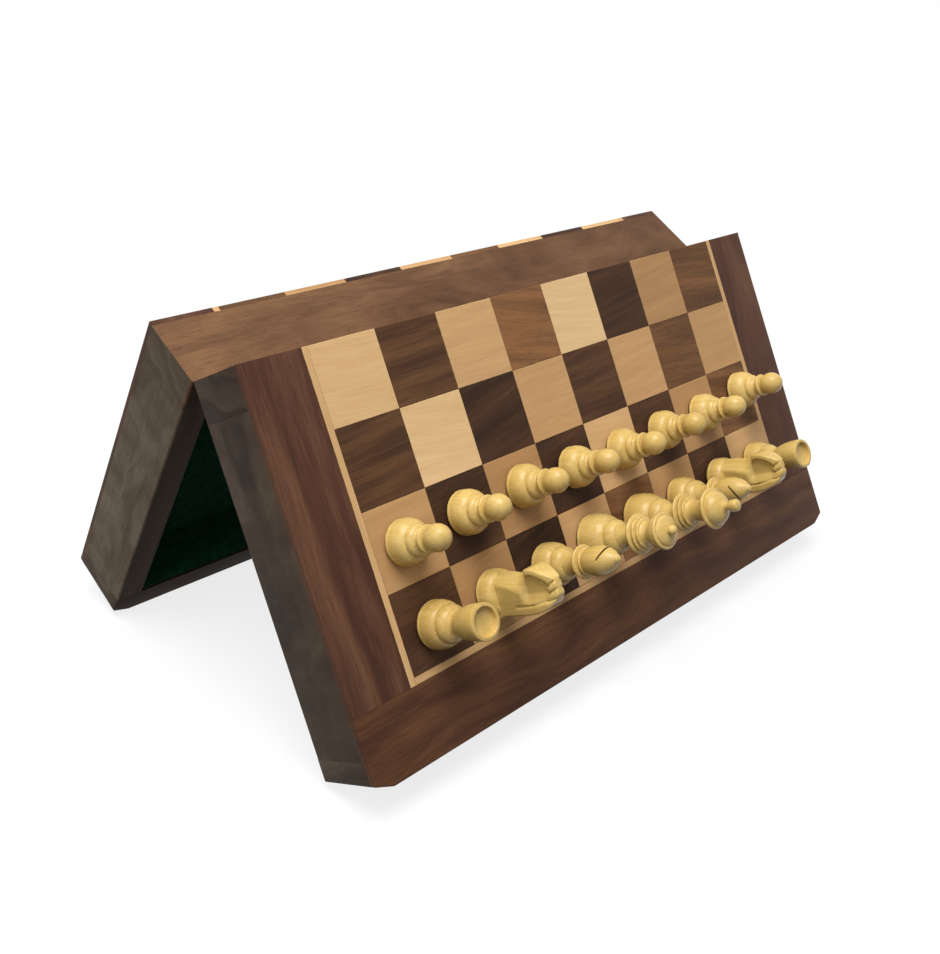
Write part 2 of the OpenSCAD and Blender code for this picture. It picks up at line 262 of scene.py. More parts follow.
def prism(outline, low, high):
    bm = bmesh.new()
    bottom = [bm.verts.new((x, y, low)) for x, y in outline]
    top = [bm.verts.new((x, y, high)) for x, y in outline]
    bm.faces.new(bottom[::-1])
    bm.faces.new(top)
    n = len(outline)
    for i in range(n):
        bm.faces.new((bottom[i], bottom[(i + 1) % n], top[(i + 1) % n], top[i]))
    bmesh.ops.recalc_face_normals(bm, faces=bm.faces)
    return bm


def blockOutline(x0, y0, x1, y1):
    return [(x0, y0), (x1, y0), (x1, y1), (x0, y1)]


def near(a, b, slack=0.02):
    return abs(a - b) < slack


def edgeAt(x=None, y=None, z=None, along=None):
    # picks edges by the place of their middle, with x on both sides, and by their direction
    def wanted(p, d):
        places = ((x, abs(p.x)), (y, p.y), (z, p.z))
        here = all(place is None or near(place, value) for place, value in places)
        return here and (along is None or abs(d["xyz".index(along)]) > 0.9)

    return wanted


def cutAway(bm, cutters):
    # takes closed cutter shapes out of a closed shape
    scratch = []
    for source in [bm, *cutters]:
        mesh = bpy.data.meshes.new("scratch")
        source.to_mesh(mesh)
        source.free()
        scratch.append(newObject("scratch", mesh))
    body = scratch[0]
    for cutter in scratch[1:]:
        boolean = body.modifiers.new("cut", "BOOLEAN")
        boolean.operation, boolean.solver, boolean.object = "DIFFERENCE", "EXACT", cutter
    result = evaluated(body)
    out = bmesh.new()
    out.from_mesh(result)
    bmesh.ops.remove_doubles(out, verts=out.verts, dist=1e-5)
    for thing in scratch:
        mesh = thing.data
        bpy.data.objects.remove(thing)
        bpy.data.meshes.remove(mesh)
    bpy.data.meshes.remove(result)
    return out


def lathe(outline, segments=72, wobble=0.0, seed=0):
    # outline runs from the axis at the bottom to the axis at the top, as (radius, height)
    clean = [outline[0]]
    for r, z in outline[1:]:
        if math.hypot(r - clean[-1][0], z - clean[-1][1]) > 0.02:
            clean.append((r, z))
    clean[-1] = (0.0, clean[-1][1])
    rng = np.random.default_rng(seed)
    ragged = 1 + wobble * rng.standard_normal(segments)
    turn = np.linspace(0, 2 * math.pi, segments, endpoint=False)
    points, faces, rings = [], [], []
    for r, z in clean:
        if r < 1e-6:
            rings.append([len(points)])
            points.append((0, 0, z))
        else:
            rings.append(list(range(len(points), len(points) + segments)))
            points += [(r * k * math.cos(t), r * k * math.sin(t), z) for t, k in zip(turn, ragged)]
    for low, high in zip(rings, rings[1:]):
        for i in range(segments):
            j = (i + 1) % segments
            if len(low) == 1 and len(high) == 1:
                continue
            if len(low) == 1:
                faces.append((low[0], high[j], high[i]))
            elif len(high) == 1:
                faces.append((low[i], low[j], high[0]))
            else:
                faces.append((low[i], low[j], high[j], high[i]))
    return np.array(points), faces


# Finishes

# What the oiled woods share; a wood below states only where it differs
# places: where the colours sit from dark to pale; band: width of the growth bands in mm
# stretch: how many times longer than wide they run; wander: how far they drift in mm
oiled = {
    "places": (0.2, 0.42, 0.58, 0.8),
    "toneGain": 0.34,
    "slant": 0.0,
    "gloss": (0.38, 0.55),
    "shine": 0.08,
    "pores": 0.35,
}
woods = {
    # Indian rosewood front planks: orange brown with low smoky bands, oiled to a low sheen
    "sheeshamFront": {
        "colours": ("#352018", "#4d3123", "#60402b", "#7f5836"),
        "band": 11, "stretch": 8, "wander": 14, "contrast": 0.95,
    },
    # The side planks are redder, with a purple cast in the dark bands
    "sheeshamSide": {
        "colours": ("#321f19", "#4a2f24", "#5f4130", "#7a583e"),
        "band": 14, "stretch": 12, "wander": 16, "contrast": 0.95,
    },
    # The fold rail is the palest and warmest board
    "sheeshamFold": {
        "colours": ("#40291c", "#593e2a", "#6a4c35", "#836140"),
        "band": 8, "stretch": 8, "wander": 12, "contrast": 1.1, "toneGain": 0.5,
        "gloss": (0.4, 0.58),
    },
    # The end and front rails, left duller, look olive grey; their colours are also lightened past the wood's
    # own, as painted light standing in for light that the end faces lack
    "sheeshamRailPaintedLight": {
        "colours": ("#372c23", "#504236", "#625445", "#7a6e5f"),
        "band": 12, "stretch": 4.5, "wander": 14, "contrast": 1.7, "toneGain": 0.8,
        "gloss": (0.45, 0.6), "shine": 0.05, "pores": 0.4,
    },
    # The rims that meet when the box shuts get a darker copy of the rail wood: painted shade for faces that
    # lie in shadow inside the standing box
    "sheeshamRimShade": {
        "colours": ("#221711", "#33241b", "#413023", "#553f2e"),
        "band": 10, "stretch": 12, "wander": 12, "contrast": 1.2, "toneGain": 0.4,
        "gloss": (0.45, 0.6), "shine": 0.05,
    },
    # Dark squares: the same timber cut from many boards, so each square has its own depth of brown
    "sheeshamSquare": {
        "colours": ("#312219", "#493122", "#64462e", "#875e3d"),
        "places": (0.15, 0.38, 0.6, 0.85), "band": 6, "stretch": 16, "wander": 7, "contrast": 0.9,
        "toneGain": 0.62, "slant": 0.5,
    },
    # Hard maple: pale cream to pinkish tan, fine faint lines, satin
    "mapleSquare": {
        "colours": ("#9d764c", "#b58d5f", "#c8a271", "#d9b989"),
        "places": (0.12, 0.4, 0.62, 0.88), "band": 5, "stretch": 16, "wander": 5, "contrast": 0.38,
        "toneGain": 0.62, "slant": 0.3, "gloss": (0.4, 0.52), "shine": 0.2, "pores": 0.1,
    },
    # Turned boxwood: warm butter yellow, dense and almost lineless, waxed to a soft shine
    "boxwoodTurned": {
        "colours": ("#b4924e", "#c3a25b", "#cdae67", "#d8bc78"),
        "places": (0.2, 0.45, 0.6, 0.8), "band": 2.2, "stretch": 16, "wander": 3, "contrast": 0.6,
        "toneGain": 0.2, "gloss": (0.2, 0.3), "shine": 0.28, "pores": 0.08,
    },
    # Turned rosewood: deep red-brown with darker lines, waxed
    "rosewoodTurned": {
        "colours": ("#24100a", "#3f1f13", "#552c1b", "#6d3d25"),
        "places": (0.2, 0.45, 0.6, 0.8), "band": 2.5, "stretch": 16, "wander": 3, "contrast": 1.0,
        "toneGain": 0.25, "gloss": (0.2, 0.3), "shine": 0.35, "pores": 0.4,
    },
}


def woodMaterial(name, look):
    material, tree = newMaterial(name)
    where = addNode(tree, "ShaderNodeAttribute", attribute_name="grainPos")
    tone = addNode(tree, "ShaderNodeAttribute", attribute_name="tone")
    toneMiddle = calc(tree, "SUBTRACT", tone.outputs["Fac"], 0.5)
    slant = calc(tree, "MULTIPLY", toneMiddle, look["slant"])
    leaned = {"Vector": where.outputs["Vector"], "Angle": slant}
    turned = addNode(tree, "ShaderNodeVectorRotate", leaned, rotation_type="Z_AXIS").outputs[0]
    # the rings lean and swell slowly along the board
    slowPlace = cells(tree, turned, (0.11, 0.028, 0.028))
    slow = noise(tree, slowPlace, 2.0, 0.5)
    wander = calc(tree, "MULTIPLY", slow, look["wander"] * mm * 2)  # noise lies round a half
    across = stretch(tree, turned, (0, 1, 1))
    radius = addNode(tree, "ShaderNodeVectorMath", {0: across}, operation="LENGTH")
    ring = calc(tree, "ADD", radius.outputs["Value"], wander)
    split = addNode(tree, "ShaderNodeSeparateXYZ", {0: turned})
    ringStep = calc(tree, "MULTIPLY", ring, 1000 / look["band"])
    alongStep = calc(tree, "MULTIPLY", split.outputs["X"], 1000 / (look["band"] * look["stretch"]))
    bandPlace = addNode(tree, "ShaderNodeCombineXYZ", {0: ringStep, 1: alongStep})
    bands = noise(tree, bandPlace.outputs[0], 5.0, 0.62)
    # fibres about 0.7 mm apart, drawn coarser than real ones so that they show
    fibrePlace = cells(tree, turned, (0.02, 0.0007, 0.0007))
    fibres = noise(tree, fibrePlace, 2.0, 0.6)
    toneStep = calc(tree, "MULTIPLY", toneMiddle, look["toneGain"])
    banded = remap(tree, bands, 0.0, 1.0, 0.5 - look["contrast"] / 2, 0.5 + look["contrast"] / 2)
    toned = calc(tree, "ADD", banded, toneStep)
    fibreStep = remap(tree, fibres, 0.3, 0.7, -0.05, 0.05)
    figure = calc(tree, "ADD", toned, fibreStep)
    colour = ramp(tree, figure, list(zip(look["places"], look["colours"])))
    # open pores: short dark strokes 0.4 mm wide and 6 mm long
    porePlace = cells(tree, turned, (0.006, 0.00045, 0.00045))
    poreNoise = noise(tree, porePlace, 1.0, 0.5)
    pores = remap(tree, poreNoise, 0.6, 0.7, 0.0, look["pores"])
    poreMix = {"Factor": pores, 6: colour, 7: linear(look["colours"][0])}
    finished = addNode(tree, "ShaderNodeMix", poreMix, data_type="RGBA").outputs[2]
    low, high = look["gloss"]
    rough = remap(tree, fibres, 0.3, 0.7, low, high)
    relief = calc(tree, "SUBTRACT", fibres, pores)
    gloss = {"Roughness": rough, "IOR": 1.5, "Specular IOR Level": look["shine"]}
    surface(tree, {"Base Color": finished, "Normal": bump(tree, relief, 0.35, 0.0001), **gloss})
    return material


def feltMaterial(name, base, tip):
    # pressed wool felt: matt, with a soft nap that lightens at a grazing look
    material, tree = newMaterial(name)
    place = addNode(tree, "ShaderNodeTexCoord")
    clumps = noise(tree, place.outputs["Object"], 3.0, 0.6, 1 / 0.004)
    curled = {"Vector": place.outputs["Object"], "Scale": 1 / 0.0006, "Detail": 3.0}
    curled |= {"Roughness": 0.7, "Distortion": 1.5}
    hairs = addNode(tree, "ShaderNodeTexNoise", curled).outputs["Fac"]
    blend = calc(tree, "MULTIPLY", clumps, hairs)
    colour = ramp(tree, blend, [(0.1, base), (0.42, tip)])
    nap = {"Roughness": 0.95, "Specular IOR Level": 0.05, "Sheen Weight": 0.08, "Sheen Roughness": 0.5}
    surface(tree, {"Base Color": colour, "Normal": bump(tree, hairs, 0.8, 0.0003), **nap})
    return material


def metalMaterial(name, dark, light, rough, brushed):
    # fine strokes, whose length and width in metres are in brushed, over a clear sheen
    material, tree = newMaterial(name)
    place = addNode(tree, "ShaderNodeTexCoord")
    strokes = noise(tree, cells(tree, place.outputs["Object"], brushed), 3.0, 0.6)
    colour = ramp(tree, strokes, [(0.3, dark), (0.7, light)])
    gloss = remap(tree, strokes, 0.3, 0.7, rough[0], rough[1])
    relief = bump(tree, strokes, 0.2, 0.00005)
    surface(tree, {"Base Color": colour, "Metallic": 1.0, "Roughness": gloss, "Normal": relief})
    return material


def plyMaterial(name):
    # birch ply: pale, with long soft streaks
    material, tree = newMaterial(name)
    place = addNode(tree, "ShaderNodeTexCoord")
    streaks = noise(tree, cells(tree, place.outputs["Object"], (0.05, 0.002, 0.002)), 3.0, 0.5)
    colour = ramp(tree, streaks, [(0.3, "#a88a62"), (0.7, "#c9ad84")])
    surface(tree, {"Base Color": colour, "Roughness": 0.6})
    return material


wood = {name: woodMaterial(name, oiled | look) for name, look in woods.items()}
trayFelt = feltMaterial("greenTrayFelt", "#0a3a2b", "#1f6a48")
footFelt = feltMaterial("darkFootFelt", "#0b0d0a", "#22281f")
brass = metalMaterial("brushedBrass", "#9a7636", "#c9a255", (0.25, 0.42), (0.02, 0.0004, 0.0004))
steel = metalMaterial("zincSteel", "#8b9094", "#b9bdc0", (0.3, 0.45), (0.02, 0.0005, 0.0005))
nickel = metalMaterial("nickelMagnet", "#a9abac", "#d3d4d3", (0.12, 0.22), (0.004, 0.004, 0.004))
ply = plyMaterial("birchPly")
print("finishes made")


# Box


def cornered(yInner):
    # front outline with its two cut corners, back to yInner
    cutX, cutY = endX - board["cutFront"], frontY + board["cutEnd"]
    return [(-endX, cutY), (-cutX, frontY), (cutX, frontY), (endX, cutY), (endX, yInner), (-endX, yInner)]


def soften(bm, inner):
    # the outer edges of the face and its corners are rounded, and the joints get a hairline edge
    def inCorner(p):
        return p.y < frontY + board["cutEnd"] + 0.1 and abs(p.x) > endX - board["cutFront"] - 0.1

    def outer(p, d):
        onRim = near(abs(p.x), endX) or near(p.y, frontY) or inCorner(p)
        return (abs(d.z) > 0.9 and inCorner(p)) or (near(p.z, faceZ) and abs(d.z) < 0.1 and onRim)

    def joint(p, d):
        upright = abs(d.z) > 0.9 and (near(p.y, inner) or near(p.y, foldY))
        return upright or (near(p.y, inner) and abs(d.x) > 0.9)

    bevelWhere(bm, outer, board["softEdge"], 4)
    bevelWhere(bm, edgeAt(y=foldY, z=faceZ, along="x"), board["foldEdge"])
    bevelWhere(bm, joint, board["jointEdge"], 1)
    return bm


rng = random.Random(7)


def pickShift():
    # where in the log a board is cut: along the grain, then across it, in millimetres
    return (rng.uniform(-900, 900), rng.uniform(40, 160) * rng.choice((-1, 1)), rng.uniform(-60, 60))


# Depth of each board's colour, from 0 dark to 1 pale
plankTone = {
    "base": {"left": 0.44, "right": 0.3, "front": 0.5},
    "lid": {"left": 0.5, "right": 0.4, "front": 0.4},
}
railTone = {
    "base": {"fold": 0.3, "fade": 0.0, "front": 0.4, "left": 0.38, "right": 0.5},
    "lid": {"fold": 0.44, "fade": 0.14, "front": 0.3, "left": 0.45, "right": 0.66},
}
gap = board["glueLine"] / 2
lineY = foldY - playDepth


def borderPlanks(half):
    parts = []
    joint = frontY + board["frontBorder"]
    for side, sign in bothSides:
        x0, x1 = sorted((sign * (playWidth / 2 + board["line"] + gap), sign * endX))
        bm = soften(prism(blockOutline(x0, joint + gap, x1, foldY), railTop, faceZ), joint + gap)
        parts.append(partFrom(bm, "Y", pickShift(), plankTone[half][side]))
    bm = soften(prism(cornered(joint - gap), railTop, faceZ), joint - gap)
    parts.append(partFrom(bm, "X", pickShift(), plankTone[half]["front"], 1))
    plankWoods = [wood["sheeshamSide"], wood["sheeshamFront"]]
    buildHalfPiece(half, "border_planks", parts, plankWoods)


def mapleLine(half):
    parts = []
    reach = playWidth / 2 + board["line"]
    edge, low = playWidth / 2, lineY - board["line"]
    strips = [
        (-reach, low, -edge - gap, foldY, "Y"),
        (edge + gap, low, reach, foldY, "Y"),
        (-edge + gap, low, edge - gap, lineY - gap, "X"),
    ]
    for x0, y0, x1, y1, axis in strips:
        bm = prism(blockOutline(x0, y0, x1, y1), railTop, faceZ)
        bevelWhere(bm, edgeAt(z=faceZ), board["lineEdge"], 1)
        parts.append(partFrom(bm, axis, pickShift(), rng.uniform(0.45, 0.75)))
    buildHalfPiece(half, "maple_line", parts, [wood["mapleSquare"]])


hinge = {
    "length": 38.0,
    "inset": 55.0,
    "leafWidth": 10.0,
    "leafThickness": 1.0,
    "knuckleDiameter": 4.0,
    "pinDiameter": 1.8,
    "play": 0.25,
    "screwPitch": 24.0,
    "screwHead": 3.8,
    "screwShank": 1.9,
    "screwLength": 9.0,
    "sink": 0.95,
    "leafCorner": 1.2,
    "leafEdge": 0.15,
}
hingeX = endX - hinge["inset"]
pastFace = 3  # where a cutter ends, well past the face that it opens
screwY = foldY - (hinge["knuckleDiameter"] / 2 + hinge["leafWidth"]) / 2

magnet = {"inset": 100.0, "radius": 4.0, "thickness": 3.0, "play": 0.05}
magnetX, magnetY = endX - magnet["inset"], frontY + board["frontRail"] / 2


def rod(radius, length, sides=40, edge=0.15):
    # a rod along X with its end edges broken
    end = length / 2
    rising = [(0, -end), (radius - edge, -end), (radius, -end + edge)]
    points, faces = lathe(rising + [(r, -z) for r, z in rising[::-1]], sides)
    return points[:, [2, 0, 1]], faces


def rodMesh(radius, length, x):
    points, faces = rod(radius, length, edge=0.01)
    return solidFrom(points, faces, (x, 0, 0))


def paintFaces(part, paint, chosen):
    # gives the faces whose points are all chosen another material
    inside = [bool(chosen(p)) for p in part["points"]]
    for n, face in enumerate(part["faces"]):
        if all(inside[i] for i in face):
            part["paint"][n] = paint
    return part


# gives the rim faces the darker rim wood, which paints the shade that falls on them inside the standing box
def paintRimShade(part, paint):
    return paintFaces(part, paint, lambda p: near(p[2], rimZ))


# the rail wood, lightened as painted light, then the rim wood, darkened as painted shade
railWoods = [wood["sheeshamRailPaintedLight"], wood["sheeshamRimShade"]]
innerEdge = board["innerEdge"]


def foldRail(half):
    tones = railTone[half]
    inner = foldY - board["foldRail"]
    bm = prism(blockOutline(-endX, inner, endX, foldY), rimZ, railTop)
    bevelWhere(bm, edgeAt(x=endX, z=rimZ), board["railEdge"])
    bevelWhere(bm, edgeAt(y=foldY, z=rimZ), board["foldRailEdge"], 2)
    bevelWhere(bm, edgeAt(x=endX, y=inner, along="z"), board["jointEdge"], 1)
    cutters = []
    reach = hinge["length"] / 2 + hinge["play"]
    recessY = foldY - hinge["leafWidth"] - hinge["play"]
    for mid in (-hingeX, hingeX):
        recess = blockOutline(mid - reach, recessY, mid + reach, pastFace)
        cutters.append(prism(recess, rimZ - 1, rimZ + hinge["leafThickness"]))
        cutters.append(rodMesh(hinge["knuckleDiameter"] / 2 + hinge["play"], 2 * reach, mid))
    rail = partFrom(cutAway(bm, cutters), "X", pickShift(), tones["fold"])
    rail["tone"] += tones["fade"] * rail["points"][:, 0] / endX  # the board pales towards one end
    paintFaces(rail, 1, lambda p: abs(p[0]) > endX - 0.1)  # the end grain faces take the end rails' wood, with its painted light
    foldWoods = [wood["sheeshamFold"], *railWoods]
    buildHalfPiece(half, "fold_rail", [paintRimShade(rail, 2)], foldWoods)


def frontRail(half):
    inner, cornerY = frontY + board["frontRail"], frontY + board["cutEnd"] + 0.1
    bm = prism(cornered(inner), rimZ, railTop)

    def outer(p, d):
        onRim = near(p.z, rimZ) and not near(p.y, inner) and abs(d.z) < 0.1
        return (abs(d.z) > 0.9 and p.y < cornerY) or onRim

    bevelWhere(bm, outer, board["frontRailEdge"])
    bevelWhere(bm, lambda p, d: near(p.y, inner) and (abs(d.z) > 0.9 or near(p.z, rimZ)), innerEdge, 1)
    r, floor = magnet["radius"] + magnet["play"], rimZ + magnet["thickness"] + magnet["play"]
    points, faces = lathe([(0, rimZ - 1), (r, rimZ - 1), (r, floor), (0, floor)], 48)
    holes = [solidFrom(points, faces, (sign * magnetX, magnetY, 0)) for sign in (-1, 1)]
    rail = partFrom(cutAway(bm, holes), "X", pickShift(), railTone[half]["front"])
    buildHalfPiece(half, "front_rail", [paintRimShade(rail, 1)], railWoods)


def endRails(half):
    parts = []
    innerX = endX - board["endRail"]
    y0, y1 = frontY + board["frontRail"], foldY - board["foldRail"]
    for side, sign in bothSides:
        x0, x1 = sorted((sign * endX, sign * innerX))
        bm = prism(blockOutline(x0, y0, x1, y1), rimZ, railTop)
        bevelWhere(bm, edgeAt(x=endX, z=rimZ), board["railEdge"])
        bevelWhere(bm, edgeAt(x=innerX, z=rimZ), innerEdge, 1)
        bevelWhere(bm, edgeAt(x=endX, along="z"), board["jointEdge"], 1)
        parts.append(paintRimShade(partFrom(bm, "Y", pickShift(), railTone[half][side]), 1))
    buildHalfPiece(half, "end_rails", parts, railWoods)


def trayFeltLining(half):
    x1, y0, y1 = endX - board["endRail"], frontY + board["frontRail"], foldY - board["foldRail"]
    top = railTop - board["steel"] - board["backing"]
    shell = prism(blockOutline(-x1, y0, x1, y1), rimZ + board["feltSetback"], top)
    t = board["felt"]
    hollow = prism(blockOutline(-x1 + t, y0 + t, x1 - t, y1 - t), rimZ - 3, top - t)
    bevelWhere(hollow, lambda p, d: abs(d.z) > 0.9 or near(p.z, top - t), board["feltCorner"], 5)
    bm = cutAway(shell, [hollow])
    buildHalfPiece(half, "felt_lining", [partFrom(bm)], [trayFelt])


def hingeLeaves(half):
    parts = []
    pitch = hinge["length"] / 3
    barrel = hinge["knuckleDiameter"] / 2
    t, w = hinge["leafThickness"], hinge["leafWidth"]
    play, leaf = 0.06, hinge["length"] / 2
    headHole, shankHole = hinge["screwHead"] / 2 + play, hinge["screwShank"] / 2 + play
    holeOutline = [(0, -1), (headHole, -1), (headHole, rimZ), (shankHole, rimZ + hinge["sink"])]
    holeOutline += [(shankHole, pastFace), (0, pastFace)]
    for mid in (-hingeX, hingeX):
        bm = prism(blockOutline(mid - leaf, foldY - w, mid + leaf, -barrel - hinge["play"]), rimZ, rimZ + t)
        bevelWhere(bm, edgeAt(y=foldY - w, along="z"), hinge["leafCorner"], 4)
        bevelWhere(bm, edgeAt(z=rimZ), hinge["leafEdge"], 2)
        spots = (mid - hinge["screwPitch"] / 2, mid + hinge["screwPitch"] / 2)
        holes = [solidFrom(*lathe(holeOutline, 36), (x, screwY, 0)) for x in spots]
        parts.append(partFrom(cutAway(bm, holes)))
        for i in (-1, 1) if half == "base" else (0,):
            long = pitch - hinge["play"]
            knuckleX = mid + i * pitch
            tab = blockOutline(knuckleX - long / 2, -barrel - 1, knuckleX + long / 2, -0.4)
            parts.append(partFrom(prism(tab, rimZ + 0.02, rimZ + t - 0.02)))
            points, faces = rod(barrel, long)
            parts.append(makePart(points + np.array((knuckleX, 0, 0)), faces))
    buildHalfPiece(half, "hinge_leaves", parts, [brass])


def onBothSides(points, faces, x, y=0):
    return [makePart(points + np.array((sign * x, y, 0)), faces) for sign in (-1, 1)]


def closingMagnets(half):
    r, top = magnet["radius"], rimZ + magnet["thickness"]
    outline = [(0, rimZ), (r - 0.3, rimZ), (r - 0.08, rimZ + 0.08), (r, rimZ + 0.3)]
    outline += [(r, top - 0.3), (r - 0.3, top), (0, top)]
    parts = onBothSides(*lathe(outline, 48), magnetX, magnetY)
    buildHalfPiece(half, "closing_magnets", parts, [nickel])


def hingePins():
    pin = rod(hinge["pinDiameter"] / 2, hinge["length"] - hinge["play"], 32, 0.3)
    parts = onBothSides(*pin, hingeX)
    buildPiece("hingePins", parts, halfPlace["base"], "base_half", ["hinge_pins"], [brass])


for half in ("base", "lid"):
    for build in (borderPlanks, mapleLine, foldRail, frontRail, endRails):
        build(half)
    for build in (trayFeltLining, hingeLeaves, closingMagnets):
        build(half)
    for node, material in (("_backing_board", ply), ("_steel_sheet", steel)):
        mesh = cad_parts[half + node].data
        mesh.materials.clear()
        mesh.materials.append(material)
hingePins()
print("box made")


# Squares and screws, repeated by geometry nodes


def nodeTree(name, sockets):
    tree = bpy.data.node_groups.new(name, "GeometryNodeTree")
    for socketName, kind in sockets.items():
        tree.interface.new_socket(name=socketName, in_out="INPUT", socket_type="NodeSocket" + kind)
    tree.interface.new_socket(name="Geometry", in_out="OUTPUT", socket_type="NodeSocketGeometry")
    return tree


def runTree(tree, values):
    holder = newObject("holder", bpy.data.meshes.new("holder"))
    modifier = holder.modifiers.new("nodes", "NODES")
    modifier.node_group = tree
    for item in tree.interface.items_tree:
        if item.in_out == "INPUT" and item.name in values:
            modifier[item.identifier] = values[item.name]
    mesh = evaluated(holder)
    holder.modifiers.remove(modifier)
    bpy.data.objects.remove(holder)
    return mesh


def hiddenSource(part, name):
    mesh = bpy.data.meshes.new(name)
    mesh.from_pydata(part["points"].tolist(), [], part["faces"])
    storePoints(mesh, "grainPos", "FLOAT_VECTOR", "vector", part["grain"])
    return newObject(name, mesh)


def pointGrid(tree, sizeX, sizeY, countX, countY):
    inputs = {"Size X": sizeX, "Size Y": sizeY, "Vertices X": countX, "Vertices Y": countY}
    return addNode(tree, "GeometryNodeMeshGrid", inputs).outputs["Mesh"]


def store(tree, geometry, name, value, kind, domain):
    inputs = {"Geometry": geometry, "Name": name, "Value": value}
    return addNode(tree, "GeometryNodeStoreNamedAttribute", inputs, data_type=kind, domain=domain).outputs[0]


def randomVector(tree, low, high, seed):
    inputs = {0: low, 1: high, "Seed": seed}
    return addNode(tree, "FunctionNodeRandomValue", inputs, data_type="FLOAT_VECTOR").outputs[0]


def closeTree(tree, geometry, shift, material):
    # moves the geometry, gives it its material and hands it out
    moved = addNode(tree, "GeometryNodeTransform", {"Geometry": geometry, "Translation": shift})
    dressed = {"Geometry": moved.outputs[0], "Material": material}
    painted = addNode(tree, "GeometryNodeSetMaterial", dressed)
    addNode(tree, "NodeGroupOutput", {"Geometry": painted.outputs[0]})
    return tree


def squareTree():
    # every second point of a grid gets a block, with its own depth of colour and piece of the log
    sockets = {"Square Block": "Object", "Pitch": "Float", "Files": "Int", "Rows": "Int"}
    sockets |= {"Parity": "Int", "Middle Y": "Float", "Seed": "Int", "Wood": "Material"}
    tree = nodeTree("chequeredSquares", sockets)
    given = addNode(tree, "NodeGroupInput").outputs
    lessFile = calc(tree, "SUBTRACT", given["Files"], 1)
    lessRow = calc(tree, "SUBTRACT", given["Rows"], 1)
    sizeX = calc(tree, "MULTIPLY", lessFile, given["Pitch"])
    sizeY = calc(tree, "MULTIPLY", lessRow, given["Pitch"])
    grid = pointGrid(tree, sizeX, sizeY, given["Files"], given["Rows"])
    spot = addNode(tree, "ShaderNodeSeparateXYZ", {0: addNode(tree, "GeometryNodeInputPosition").outputs[0]})
    both = calc(tree, "SUBTRACT", spot.outputs["X"], spot.outputs["Y"])
    steps = calc(tree, "DIVIDE", both, given["Pitch"])
    count = calc(tree, "ADD", steps, 5.0)
    whole = calc(tree, "ROUND", count)
    odd = calc(tree, "MODULO", whole, 2.0)
    mine = calc(tree, "COMPARE", odd, given["Parity"], 0.1)
    block = addNode(tree, "GeometryNodeObjectInfo", {"Object": given["Square Block"]})
    laid = {"Points": grid, "Selection": mine, "Instance": block.outputs["Geometry"]}
    instances = addNode(tree, "GeometryNodeInstanceOnPoints", laid)
    toneRange = {2: 0.0, 3: 1.0, "Seed": given["Seed"]}
    toneValue = addNode(tree, "FunctionNodeRandomValue", toneRange, data_type="FLOAT").outputs[1]
    toned = store(tree, instances.outputs[0], "tone", toneValue, "FLOAT", "INSTANCE")
    nextSeed = calc(tree, "ADD", given["Seed"], 1)
    shiftValue = randomVector(tree, (-2.0, 0.03, -0.06), (2.0, 0.3, 0.06), nextSeed)
    shifted = store(tree, toned, "shift", shiftValue, "FLOAT_VECTOR", "INSTANCE")
    solid = addNode(tree, "GeometryNodeRealizeInstances", {0: shifted})
    grain, shift = (
        addNode(tree, "GeometryNodeInputNamedAttribute", {"Name": name}, data_type="FLOAT_VECTOR").outputs[0]
        for name in ("grainPos", "shift")
    )
    together = addNode(tree, "ShaderNodeVectorMath", {0: grain, 1: shift}, operation="ADD")
    grained = store(tree, solid.outputs[0], "grainPos", together.outputs[0], "FLOAT_VECTOR", "POINT")
    down = addNode(tree, "ShaderNodeCombineXYZ", {1: given["Middle Y"]})
    return closeTree(tree, grained, down.outputs[0], given["Wood"])


# Seeds of the random tones of each half's pale and dark squares
squares = {"seeds": {"base": (352, 713), "lid": (717, 570)}}
side = board["square"] / 2 - gap
bm = prism(blockOutline(-side, -side, side, side), railTop, faceZ)
bevelWhere(bm, edgeAt(z=faceZ), board["squareEdge"], 1)
squareBlock = hiddenSource(partFrom(bm), "squareBlock")
squaresTree = squareTree()
squareGrid = {"Square Block": squareBlock, "Pitch": board["square"], "Files": 8, "Rows": 4}
squareGrid["Middle Y"] = foldY - playDepth / 2
for half in ("base", "lid"):
    for parity, (kind, timber) in enumerate((("maple", "mapleSquare"), ("walnut", "sheeshamSquare"))):
        own = {"Parity": parity, "Seed": squares["seeds"][half][parity], "Wood": wood[timber]}
        settleHalfPiece(half, kind + "_squares", runTree(squaresTree, squareGrid | own))
bpy.data.objects.remove(squareBlock)
print("squares laid")


def screwTree():
    # a pair of screws at each hinge, each slot left at its own turn
    sockets = {"Screw": "Object", "Hinge X": "Float", "Pitch": "Float", "Screw Y": "Float"}
    sockets |= {"Level": "Float", "Seed": "Int", "Metal": "Material"}
    tree = nodeTree("hingeScrews", sockets)
    given = addNode(tree, "NodeGroupInput").outputs
    twice = calc(tree, "MULTIPLY", given["Hinge X"], 2.0)
    pair = pointGrid(tree, twice, 0.0, 2, 1)
    inner = pointGrid(tree, given["Pitch"], 0.0, 2, 1)
    four = addNode(tree, "GeometryNodeInstanceOnPoints", {"Points": pair, "Instance": inner})
    spots = addNode(tree, "GeometryNodeRealizeInstances", {0: four.outputs[0]})
    screw = addNode(tree, "GeometryNodeObjectInfo", {"Object": given["Screw"]})
    spin = randomVector(tree, (0, 0, 0), (0, 0, math.pi), given["Seed"])
    driven = {"Points": spots.outputs[0], "Instance": screw.outputs["Geometry"], "Rotation": spin}
    screws = addNode(tree, "GeometryNodeInstanceOnPoints", driven)
    solid = addNode(tree, "GeometryNodeRealizeInstances", {0: screws.outputs[0]})
    where = addNode(tree, "ShaderNodeCombineXYZ", {1: given["Screw Y"], 2: given["Level"]})
    return closeTree(tree, solid.outputs[0], where.outputs[0], given["Metal"])


